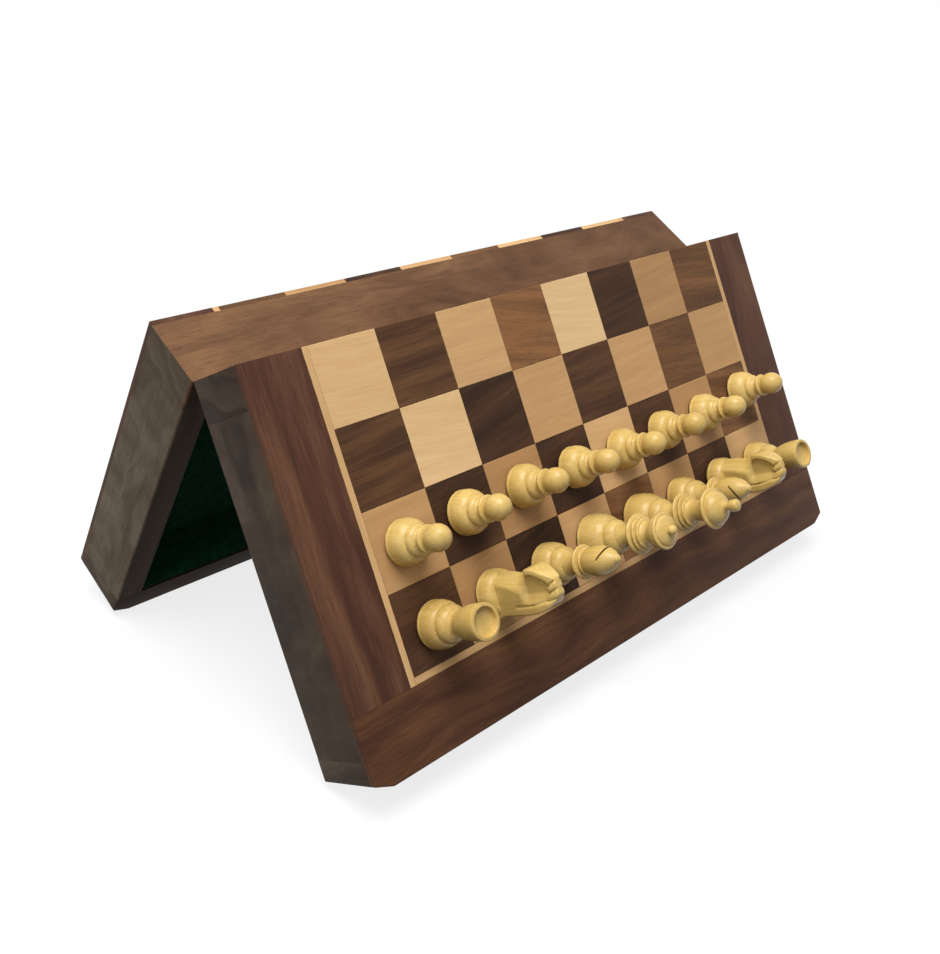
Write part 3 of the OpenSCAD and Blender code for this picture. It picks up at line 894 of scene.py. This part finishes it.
head, shank = hinge["screwHead"] / 2, hinge["screwShank"] / 2
screwOutline = [(0, 0), (head - 0.1, 0), (head, 0.08), (shank, hinge["sink"])]
screwOutline += [(shank, hinge["screwLength"] - 2), (0, hinge["screwLength"])]
driverSlot = prism(blockOutline(-3, -0.3, 3, 0.3), -1, 0.45)
bm = cutAway(solidFrom(*lathe(screwOutline, 32)), [driverSlot])
screwSource = hiddenSource(partFrom(bm), "screwSource")
screwsTree = screwTree()
screwPlan = {"Screw": screwSource, "Hinge X": hingeX, "Pitch": hinge["screwPitch"]}
screwPlan |= {"Screw Y": screwY, "Level": rimZ, "Metal": brass}
for half, seed in (("base", 3), ("lid", 8)):
    settleHalfPiece(half, "hinge_screws", runTree(screwsTree, screwPlan | {"Seed": seed}))
bpy.data.objects.remove(screwSource)
print("screws driven")


# Chessmen

men = {
    "padThickness": 0.8,
    "edgeCut": 1.0,
    "seatGap": 0.05,
    "pawn": {"foot": 17.8, "height": 26.0, "head": 10.2, "headHeight": 11.2},
    "rook": {"foot": 18.4, "height": 29.0, "head": 13.6, "well": 10.6, "wellDepth": 2.0},
    "knight": {"foot": 18.8},
    "bishop": {"foot": 18.8, "height": 40.0, "mitre": 11.6, "collar": 13.8},
    "slit": {"width": 0.8, "height": 30.8, "lean": 43},
    "queen": {"foot": 21.6, "height": 45.0, "collar": 16.6, "coronet": 14.8},
    "king": {"foot": 21.6, "height": 54.0, "collar": 16.6, "crown": 17.2},
}


# Outlines run up a man's side as (radius, height) in millimetres, and the bends in them are degrees
def swell(a, b, bend=70, n=10):
    top = math.radians(bend)
    across, up = (a[0] - b[0]) / (1 - math.cos(top)), (b[1] - a[1]) / math.sin(top)
    turns = [top * i / n for i in range(n + 1)]
    return [(a[0] - across * (1 - math.cos(t)), a[1] + up * math.sin(t)) for t in turns]


def bead(r, z, depth, thick, n=8):
    turns = [math.radians(-80 + 160 * i / n) for i in range(n + 1)]
    return [(r - depth * (1 - math.cos(t)), z + thick / 2 * math.sin(t)) for t in turns]


def ball(r, z, start, n=14, tall=None):
    turns = [math.radians(start + (90 - start) * i / n) for i in range(n + 1)]
    return [(r * math.cos(t), z + (tall or r) * math.sin(t)) for t in turns]


def foot(r, groove):
    # a rim, then a full dome up to a turned groove
    pad, cut = men["padThickness"], men["edgeCut"]
    rim = swell((r, 2), (r - cut, pad), 80, 5)[::-1]
    rim += [(r - 0.35, 2.75), (r - 0.4, 2.95), (r - 0.3, 3.15), (r - 0.1, 3.4)]
    dome = swell((r - 0.1, 4), (groove[0] + 0.35, groove[1] - 0.2), 72, 12)
    return [(0, pad)] + rim + dome + [groove]


def shoulder(groove, neck):
    return swell((groove[0] + 0.2, groove[1] + 0.5), neck, 72, 9)


def waist(a, narrow, b):
    return swell(narrow, a, 40, 5)[::-1] + swell(narrow, b, 55, 8)


def lowerBody(kind, groove, neck, *narrow):
    # foot, shoulder and waist
    return foot(men[kind]["foot"] / 2, groove) + shoulder(groove, neck) + waist(*narrow)


def pawnOutline():
    m = men["pawn"]
    head, tall = m["head"] / 2, m["headHeight"] / 2
    headZ, groove = m["height"] - tall, (5.9, 9.4)
    ringZ = headZ - 5
    body = lowerBody("pawn", groove, (4.5, 12.2), (4.4, 12.4), (4.0, 13.2), (4.4, ringZ - 0.7))
    return body + bead(head + 0.2, ringZ, 1.2, 1.4) + ball(head, headZ, -48, tall=tall)


def rookOutline():
    m = men["rook"]
    head, top, groove = m["head"] / 2, m["height"], (7.1, 9.2)
    well, floor = m["well"] / 2, m["height"] - m["wellDepth"]
    cup = swell((head, top - 2.4), (4.9, 16.4), 62, 9)[::-1]
    lip = [(head, top - 0.5), (head - 0.15, top - 0.15), (head - 0.5, top), (well + 0.2, top)]
    lip += [(well, top - 0.2), (well - 0.2, floor + 0.2), (well - 0.6, floor), (0, floor)]
    return lowerBody("rook", groove, (5, 13.6), (4.9, 13.8), (4.4, 14.9), (4.6, 15.8)) + cup + lip


def bishopOutline():
    m = men["bishop"]
    head, ring, tip, h, groove = m["mitre"] / 2, m["collar"] / 2, 2.0, m["height"], (7, 9.6)
    body = lowerBody("bishop", groove, (5, 14), (4.9, 14.4), (4.2, 17.4), (4.7, 20.6))
    mitre = swell((head, h - 11), (4.9, 24.2), 60, 6)[::-1]
    mitre += swell((head, h - 10.6), (tip, h - 1.6), 58, 12) + ball(tip, h - tip, 20, 7)
    return body + bead(ring, 21.6, 1.8, 1.6) + bead(ring - 1.4, 23.3, 1, 1.2) + mitre


def royalBase():
    # queen and king are alike up to their collars
    ring, groove = men["queen"]["collar"] / 2, (7.2, 12.5)
    body = lowerBody("queen", groove, (5, 17.4), (4.9, 17.8), (3.9, 21.8), (4.6, 24.8))
    return body + bead(ring, 26.4, 2.6, 2.2) + bead(ring - 1, 28.4, 1.8, 1.2) + bead(ring - 2, 29.9, 1.4, 1.1)


def queenOutline():
    m = men["queen"]
    rim, rimLevel, tip, h = m["coronet"] / 2, m["height"] - 5.8, 2.0, m["height"]
    bowl = waist((4.9, 30.8), (4.3, 32.4), (4.8, 33.8))
    bowl += swell((rim - 0.3, rimLevel - 0.8), (5, 34.4), 60, 8)[::-1]
    dome = swell((rim - 1.3, rimLevel + 0.6), (1.4, h - 2 * tip + 0.9), 66, 9)
    return royalBase() + bowl + bead(rim, rimLevel, 0.8, 1.4) + dome + ball(tip, h - tip, -38, 10)


def kingOutline():
    m = men["king"]
    rim, rimLevel, stem, knob, h = m["crown"] / 2, m["height"] - 12.8, 1.7, 2.5, m["height"]
    crown = waist((4.9, 30.8), (4.3, 33), (rim - 1, rimLevel - 0.8)) + bead(rim, rimLevel, 1.2, 1.7)
    cone = swell((rim - 1.4, rimLevel + 0.9), (2.6, rimLevel + 5.6), 72, 9)
    finial = [(stem, rimLevel + 6.2), (stem, h - 5), (knob - 0.2, h - 4.2), (knob, h - 3.2)]
    finial += swell((knob, h - 1.4), (0, h), 80, 8)
    return royalBase() + crown + cone + finial


def surfaceNets(field, corner, step):
    # smooth skin of the zero level of a sampled field, negative inside
    inside = field < 0
    nx, ny, nz = (n - 1 for n in field.shape)

    def cut(grid, i, j, k):
        return grid[i : nx + i, j : ny + j, k : nz + k]

    count = sum(cut(inside, i, j, k).astype(np.int8) for i in (0, 1) for j in (0, 1) for k in (0, 1))
    active = (count > 0) & (count < 8)
    total, hits = np.zeros((nx, ny, nz, 3)), np.zeros((nx, ny, nz))
    for axis in range(3):
        for u in (0, 1):
            for v in (0, 1):
                a = [u, v]
                a.insert(axis, 0)
                b = list(a)
                b[axis] = 1
                fa, fb = cut(field, *a), cut(field, *b)
                crosses = (fa < 0) != (fb < 0)
                t = np.where(crosses, fa / np.where(crosses, fa - fb, 1), 0)
                for d in range(3):
                    total[..., d] += np.where(crosses, a[d] + (t if d == axis else 0), 0)
                hits += crosses
    ids = np.full(active.shape, -1)
    ids[active] = np.arange(active.sum())
    points = (np.argwhere(active) + total[active] / hits[active][:, None]) * step + np.array(corner)
    faces = []
    for axis in range(3):
        lead = (slice(None),) * axis
        a, b = inside[lead + (slice(None, -1),)], inside[lead + (slice(1, None),)]
        u, v = (axis + 1) % 3, (axis + 2) % 3
        for i in np.argwhere(a != b):
            if i[u] == 0 or i[v] == 0 or i[u] >= active.shape[u] or i[v] >= active.shape[v]:
                continue
            ring = []
            for du, dv in ((-1, -1), (0, -1), (0, 0), (-1, 0)):
                c = i.copy()
                c[u] += du
                c[v] += dv
                ring.append(int(ids[tuple(c)]))
            faces.append(ring if a[tuple(i)] else ring[::-1])
    return points, faces


def smoothLoop(corners, n=6):
    # closed curve through the corners
    out, count = [], len(corners)
    pts = [np.array(c, float) for c in corners]
    for i in range(count):
        p0, p1, p2, p3 = (pts[(i + k) % count] for k in (-1, 0, 1, 2))
        for j in range(n):
            t = j / n
            square, cube = (2 * p0 - 5 * p1 + 4 * p2 - p3) * t**2, (3 * p1 - p0 - 3 * p2 + p3) * t**3
            out.append(0.5 * (2 * p1 + (p2 - p0) * t + square + cube))
    return np.array(out)


def distanceToLine(start, end, y, z):
    (ay, az), (by, bz) = start, end
    t = np.clip(((y - ay) * (by - ay) + (z - az) * (bz - az)) / ((by - ay) ** 2 + (bz - az) ** 2), 0, 1)
    return np.hypot(y - ay - t * (by - ay), z - az - t * (bz - az))


def loopDistance(loop, y, z):
    # signed distance to a closed loop in a plane, negative inside
    best, inside = np.full(y.shape, 1e9), np.zeros(y.shape, bool)
    for (ay, az), (by, bz) in zip(loop, np.roll(loop, -1, axis=0)):
        ey, ez = by - ay, bz - az
        t = np.clip(((y - ay) * ey + (z - az) * ez) / (ey * ey + ez * ez), 0, 1)
        best = np.minimum(best, np.hypot(y - ay - t * ey, z - az - t * ez))
        crosses = ((az > z) != (bz > z)) & (y < ey * (z - az) / (ez if abs(ez) > 1e-9 else 1e-9) + ay)
        inside ^= crosses
    return np.where(inside, -best, best)


horse = {"step": 0.34, "edge": 0.8, "halfWidth": 5.0, "cheekDepth": 2.0, "maneLine": 0.5, "browNotch": 0.9}


def horseShape():
    # a flat blank sawn to the horse's outline, with the chest cut to a prow; y is forwards
    corners = [
        (8.6, 5.4), (8.7, 8), (8.4, 11), (8.0, 15), (7.3, 19.0), (7.5, 20.8),
        (8.2, 22.6), (8.9, 25), (9.05, 27.9), (8.2, 30.4), (6.8, 33), (5.4, 35.2),
        (4.0, 36.7), (2.6, 37), (-0.6, 37), (-2.6, 36.8), (-5.4, 34.2), (-7.4, 30),
        (-8.3, 25), (-8.5, 20), (-8.3, 14), (-8.2, 9), (-8.2, 5.4),
    ]
    loop = smoothLoop(corners)
    step = horse["step"]
    xs, ys, zs = np.arange(-6.4, 6.4, step), np.arange(-9.6, 10.4, step), np.arange(5.0, 38.4, step)
    y, z = np.meshgrid(ys, zs, indexing="ij")
    flat = loopDistance(loop, y, z)
    depth = -flat
    width = horse["halfWidth"]
    half = np.interp(z, [6, 20, 27, 32, 35, 37], [width + more for more in (0.2, 0, -0.3, -1.1, -2.1, -2.9)])
    # cheek and throat sunk between the bright band of the nose and the mane
    ahead = np.clip((y + 4.2) / 3.6, 0, 1) * np.clip((depth - 2.1) / 1.0, 0, 1)
    sunk = ahead * np.clip((z - 20.6) / 2.6, 0, 1) * np.clip((34.4 - z) / 2.6, 0, 1)
    half = half - horse["cheekDepth"] * sunk
    mane = [((-3.4, 36.4), (-3.9, 32.4)), ((-3.8, 32.2), (-4.8, 25.0))]
    mane += [((-4.8, 25.0), (-4.9, 17.0)), ((8.6, 23.6), (6.6, 23.9))]
    brow = [((3.4, 37.4), (1.4, 33.4)), ((0.2, 37.4), (-1.2, 33.2))]
    for lines, cut in ((mane, horse["maneLine"]), (brow, horse["browNotch"])):
        for start, end in lines:
            half = half - cut * np.exp(-((distanceToLine(start, end, y, z) / 0.42) ** 2))
    x = xs[:, None, None]
    wide = np.abs(x) - half[None]
    k = horse["edge"]

    def blend(a, b):
        # the part inside both, with the edge between them rounded
        mix = np.clip(0.5 + 0.5 * (b - a) / k, 0, 1)
        return a * (1 - mix) + b * mix + k * mix * (1 - mix)

    field = blend(flat[None] + 0 * x, wide)
    throat = 23.1
    prow = np.interp(z, [6, 10, 15, 19.6, 23], [9.0, 8.7, 8.2, 7.8, 9.2])
    ridge = np.interp(z, [6, 15.4, throat, 28], [5.4, 3.0, -0.1, 2.4])
    rake = (prow - ridge) / width
    chest = (y[None] - prow[None] + rake[None] * np.abs(x)) / np.sqrt(1 + rake[None] ** 2)
    # above the throat the prow runs out
    chest = np.where(z[None] > throat, chest - 1.6 * np.clip(z[None] - throat, 0, 9), chest)
    field = blend(field, chest)
    crownCut = np.abs(x) - np.interp(z, [30, 33.5, 37], [9, 3.9, 2.2])[None]
    field = blend(field, crownCut)
    field[:, :, 0] = 1
    return surfaceNets(field, (xs[0], ys[0], zs[0]), step)


outlines = {
    "pawn": pawnOutline,
    "rook": rookOutline,
    "bishop": bishopOutline,
    "queen": queenOutline,
    "king": kingOutline,
}


def chessmanParts(kind):
    # the (points, faces) of each part of the wooden body, drawn standing at the origin
    if kind == "knight":
        r = men["knight"]["foot"] / 2
        base = lathe(foot(r, (7.4, 8.3)) + [(0, 8.4)])
        return [base, horseShape()]
    points, faces = lathe(outlines[kind]())
    if kind != "bishop":
        return [(points, faces)]
    cut = men["slit"]
    slit = prism(blockOutline(-9, 2.0, 9, 12), -cut["width"] / 2, cut["width"] / 2)
    tilt = Matrix.Rotation(math.radians(cut["lean"]), 4, "X")
    slit.transform(Matrix.Translation((0, 0, cut["height"])) @ tilt)
    part = partFrom(cutAway(solidFrom(points, faces), [slit]))
    return [(part["points"], part["faces"])]


# Slips are how far each man stands from the middle of its square, by file, and the turns are degrees
backRank = ["rook", "knight", "bishop", "queen", "king", "bishop", "knight", "rook"]
pawnSlips = [(-2.4, 0), (-1.9, -1.2), (0, -1.6), (0.2, -0.4), (0.6, 0.7), (-0.3, 0.3), (1, 0.4), (3.8, -2.5)]
backSlips = [(0, 1.4), (0, 0.8), (0.4, 1), (-0.4, 0.2), (-0.2, 1), (-1, 1.2), (0, 1.2), (0, 2)]
bishopTurn = {"base": {2: 5, 5: 130}, "lid": {2: 20, 5: 130}}
bodies = {kind: chessmanParts(kind) for kind in ("pawn", "rook", "knight", "bishop", "queen", "king")}
print("chessmen turned and carved")


def setChessman(half, name, kind, file, row, slip):
    tone = rng.uniform(0.2, 0.8)
    shift = (rng.uniform(-900, 900), rng.uniform(4, 30), rng.uniform(4, 30))
    turn = {"knight": 0, "bishop": bishopTurn[half].get(file)}.get(kind, rng.uniform(0, 360))
    parts = [makePart(points, faces, "Z", shift, tone) for points, faces in bodies[kind]]
    r = men[kind]["foot"] / 2 - men["edgeCut"]
    padOutline = [(0, 0), (r - 0.25, 0), (r, 0.2), (r, 0.7), (r - 0.1, men["padThickness"])]
    points, faces = lathe(padOutline + [(0, men["padThickness"])], 72, 0.004, file * 10 + row)
    parts.append(makePart(points, faces, paint=1))
    x = (file + 0.5) * board["square"] - playWidth / 2 + slip[0]
    if half == "lid":
        x = -x
    y = foldY - (row + 0.5) * board["square"] - slip[1]
    seat = Matrix.Translation((x, y, faceZ + men["seatGap"]))
    place = halfPlace[half] @ seat @ Matrix.Rotation(math.radians(turn), 4, "Z")
    timber = "boxwood" if half == "base" else "rosewood"
    title = name.title().replace("_", "")
    buildPiece(title, parts, place, name, [name], [wood[timber + "Turned"], footFelt])


for half, timber, pawnRank, backNumber in (("base", "boxwood", 2, 1), ("lid", "rosewood", 7, 8)):
    for file, letter in enumerate("abcdefgh"):
        kind = backRank[file]
        setChessman(half, f"{timber}_pawn_{letter}{pawnRank}", "pawn", file, 2, pawnSlips[file])
        setChessman(half, f"{timber}_{kind}_{letter}{backNumber}", kind, file, 3, backSlips[file])
print("chessmen placed")


# Floor, light and camera

stageLook = {
    "floor": "#f2f2f0",
    "floorRadius": 9,
    "bounce": "#444443",
    "worldStrength": 0.38,
    "whiteNear": 0.8,
    "fadeFrom": 0.25,
    "fadeTo": 0.75,
    "aim": (0, 0, 0.07),
}
# Where each lamp stands and its size, in metres, and its power in watts
lamps = {
    "keyLamp": {"spot": (-0.3, -0.2, 1.4), "size": 1.0, "power": 22.5},
    "fillLamp": {"spot": (-1.2, -0.25, 0.9), "size": 0.9, "power": 4.0},
    "backLamp": {"spot": (-0.1, 1.1, 1.1), "size": 0.9, "power": 3.0},
}


def seenRays(tree):
    # 1 where the camera looks, straight or through a reflection
    rays = addNode(tree, "ShaderNodeLightPath")
    both = calc(tree, "MAXIMUM", rays.outputs["Is Camera Ray"], rays.outputs["Is Glossy Ray"])
    return calc(tree, "MAXIMUM", both, rays.outputs["Is Transmission Ray"])


def mixShaders(tree, share, first, second):
    return addNode(tree, "ShaderNodeMixShader", {0: share, 1: first.outputs[0], 2: second.outputs[0]})


def makeFloor():
    # white paper that keeps a faint shadow near the box and fades to pure white behind it
    material, tree = newMaterial("paperSweep")
    place = addNode(tree, "ShaderNodeTexCoord")
    away = addNode(tree, "ShaderNodeVectorMath", {0: place.outputs["Object"]}, operation="LENGTH")
    span = (stageLook[key] for key in ("fadeFrom", "fadeTo", "whiteNear"))
    fade = remap(tree, away.outputs["Value"], *span, 1.0)
    paper = addNode(tree, "ShaderNodeBsdfDiffuse", {"Color": linear(stageLook["floor"])})
    white = addNode(tree, "ShaderNodeEmission", {"Color": linear("#ffffff"), "Strength": 1.0})
    shown = mixShaders(tree, fade, paper, white)
    bounce = addNode(tree, "ShaderNodeBsdfDiffuse", {"Color": linear(stageLook["bounce"])})
    mixed = mixShaders(tree, seenRays(tree), bounce, shown)
    addNode(tree, "ShaderNodeOutputMaterial", {"Surface": mixed.outputs[0]})
    mesh = bpy.data.meshes.new("floor")
    radius, n = stageLook["floorRadius"], 96
    turns = [2 * math.pi * i / n for i in range(n)]
    mesh.from_pydata([(radius * math.cos(t), radius * math.sin(t), 0) for t in turns], [], [list(range(n))])
    mesh.materials.append(material)
    floor = newObject("floor", mesh)


def makeWorld():
    world = bpy.data.worlds.new("studio")
    bpy.context.scene.world = world
    world.use_nodes = True
    tree = world.node_tree
    tree.nodes.clear()
    white = linear("#ffffff")
    light, shown = (
        addNode(tree, "ShaderNodeBackground", {"Color": white, "Strength": strength})
        for strength in (stageLook["worldStrength"], 1.0)
    )
    mixed = mixShaders(tree, seenRays(tree), light, shown)
    addNode(tree, "ShaderNodeOutputWorld", {"Surface": mixed.outputs[0]})


def addLamp(name, spot, size, power):
    data = bpy.data.lights.new(name, "AREA")
    data.shape, data.size, data.energy = "DISK", size, power
    lamp = newObject(name, data)
    lamp.location = spot
    lamp.rotation_mode = "QUATERNION"
    lamp.rotation_quaternion = (Vector(stageLook["aim"]) - Vector(spot)).to_track_quat("-Z", "Y")


makeFloor()
makeWorld()
for name, lamp in lamps.items():
    addLamp(name, **lamp)

# The fitted camera: its axes and place in metres, and its lens in rows of the picture
view = {
    "right": (0.69964, -0.71257, 0.05239),
    "up": (0.2641, 0.32604, 0.90772),
    "ahead": (0.66389, 0.62124, -0.4163),
    "place": (-0.358289, -0.327092, 0.289806),
    "focalPixels": 1140.86,
    "imageHeight": 954,
    "axisRow": 440,
    "sensor": 36.0,
}
camera = bpy.data.cameras.new("photoCamera")
camera.sensor_width = view["sensor"]
camera.lens = view["focalPixels"] * view["sensor"] / view["imageHeight"]
camera.shift_y = -(view["imageHeight"] / 2 - view["axisRow"]) / view["imageHeight"]
camera.clip_start, camera.clip_end = 0.01, 50
cameraObject = newObject("photoCamera", camera)
right, up, ahead = (Vector(view[k]) for k in ("right", "up", "ahead"))
facing = Matrix((right, up, -ahead)).transposed().to_4x4()
cameraObject.matrix_world = Matrix.Translation(view["place"]) @ facing
bpy.context.scene.camera = cameraObject
bpy.context.scene.view_settings.view_transform = "Standard"
print("stage set")
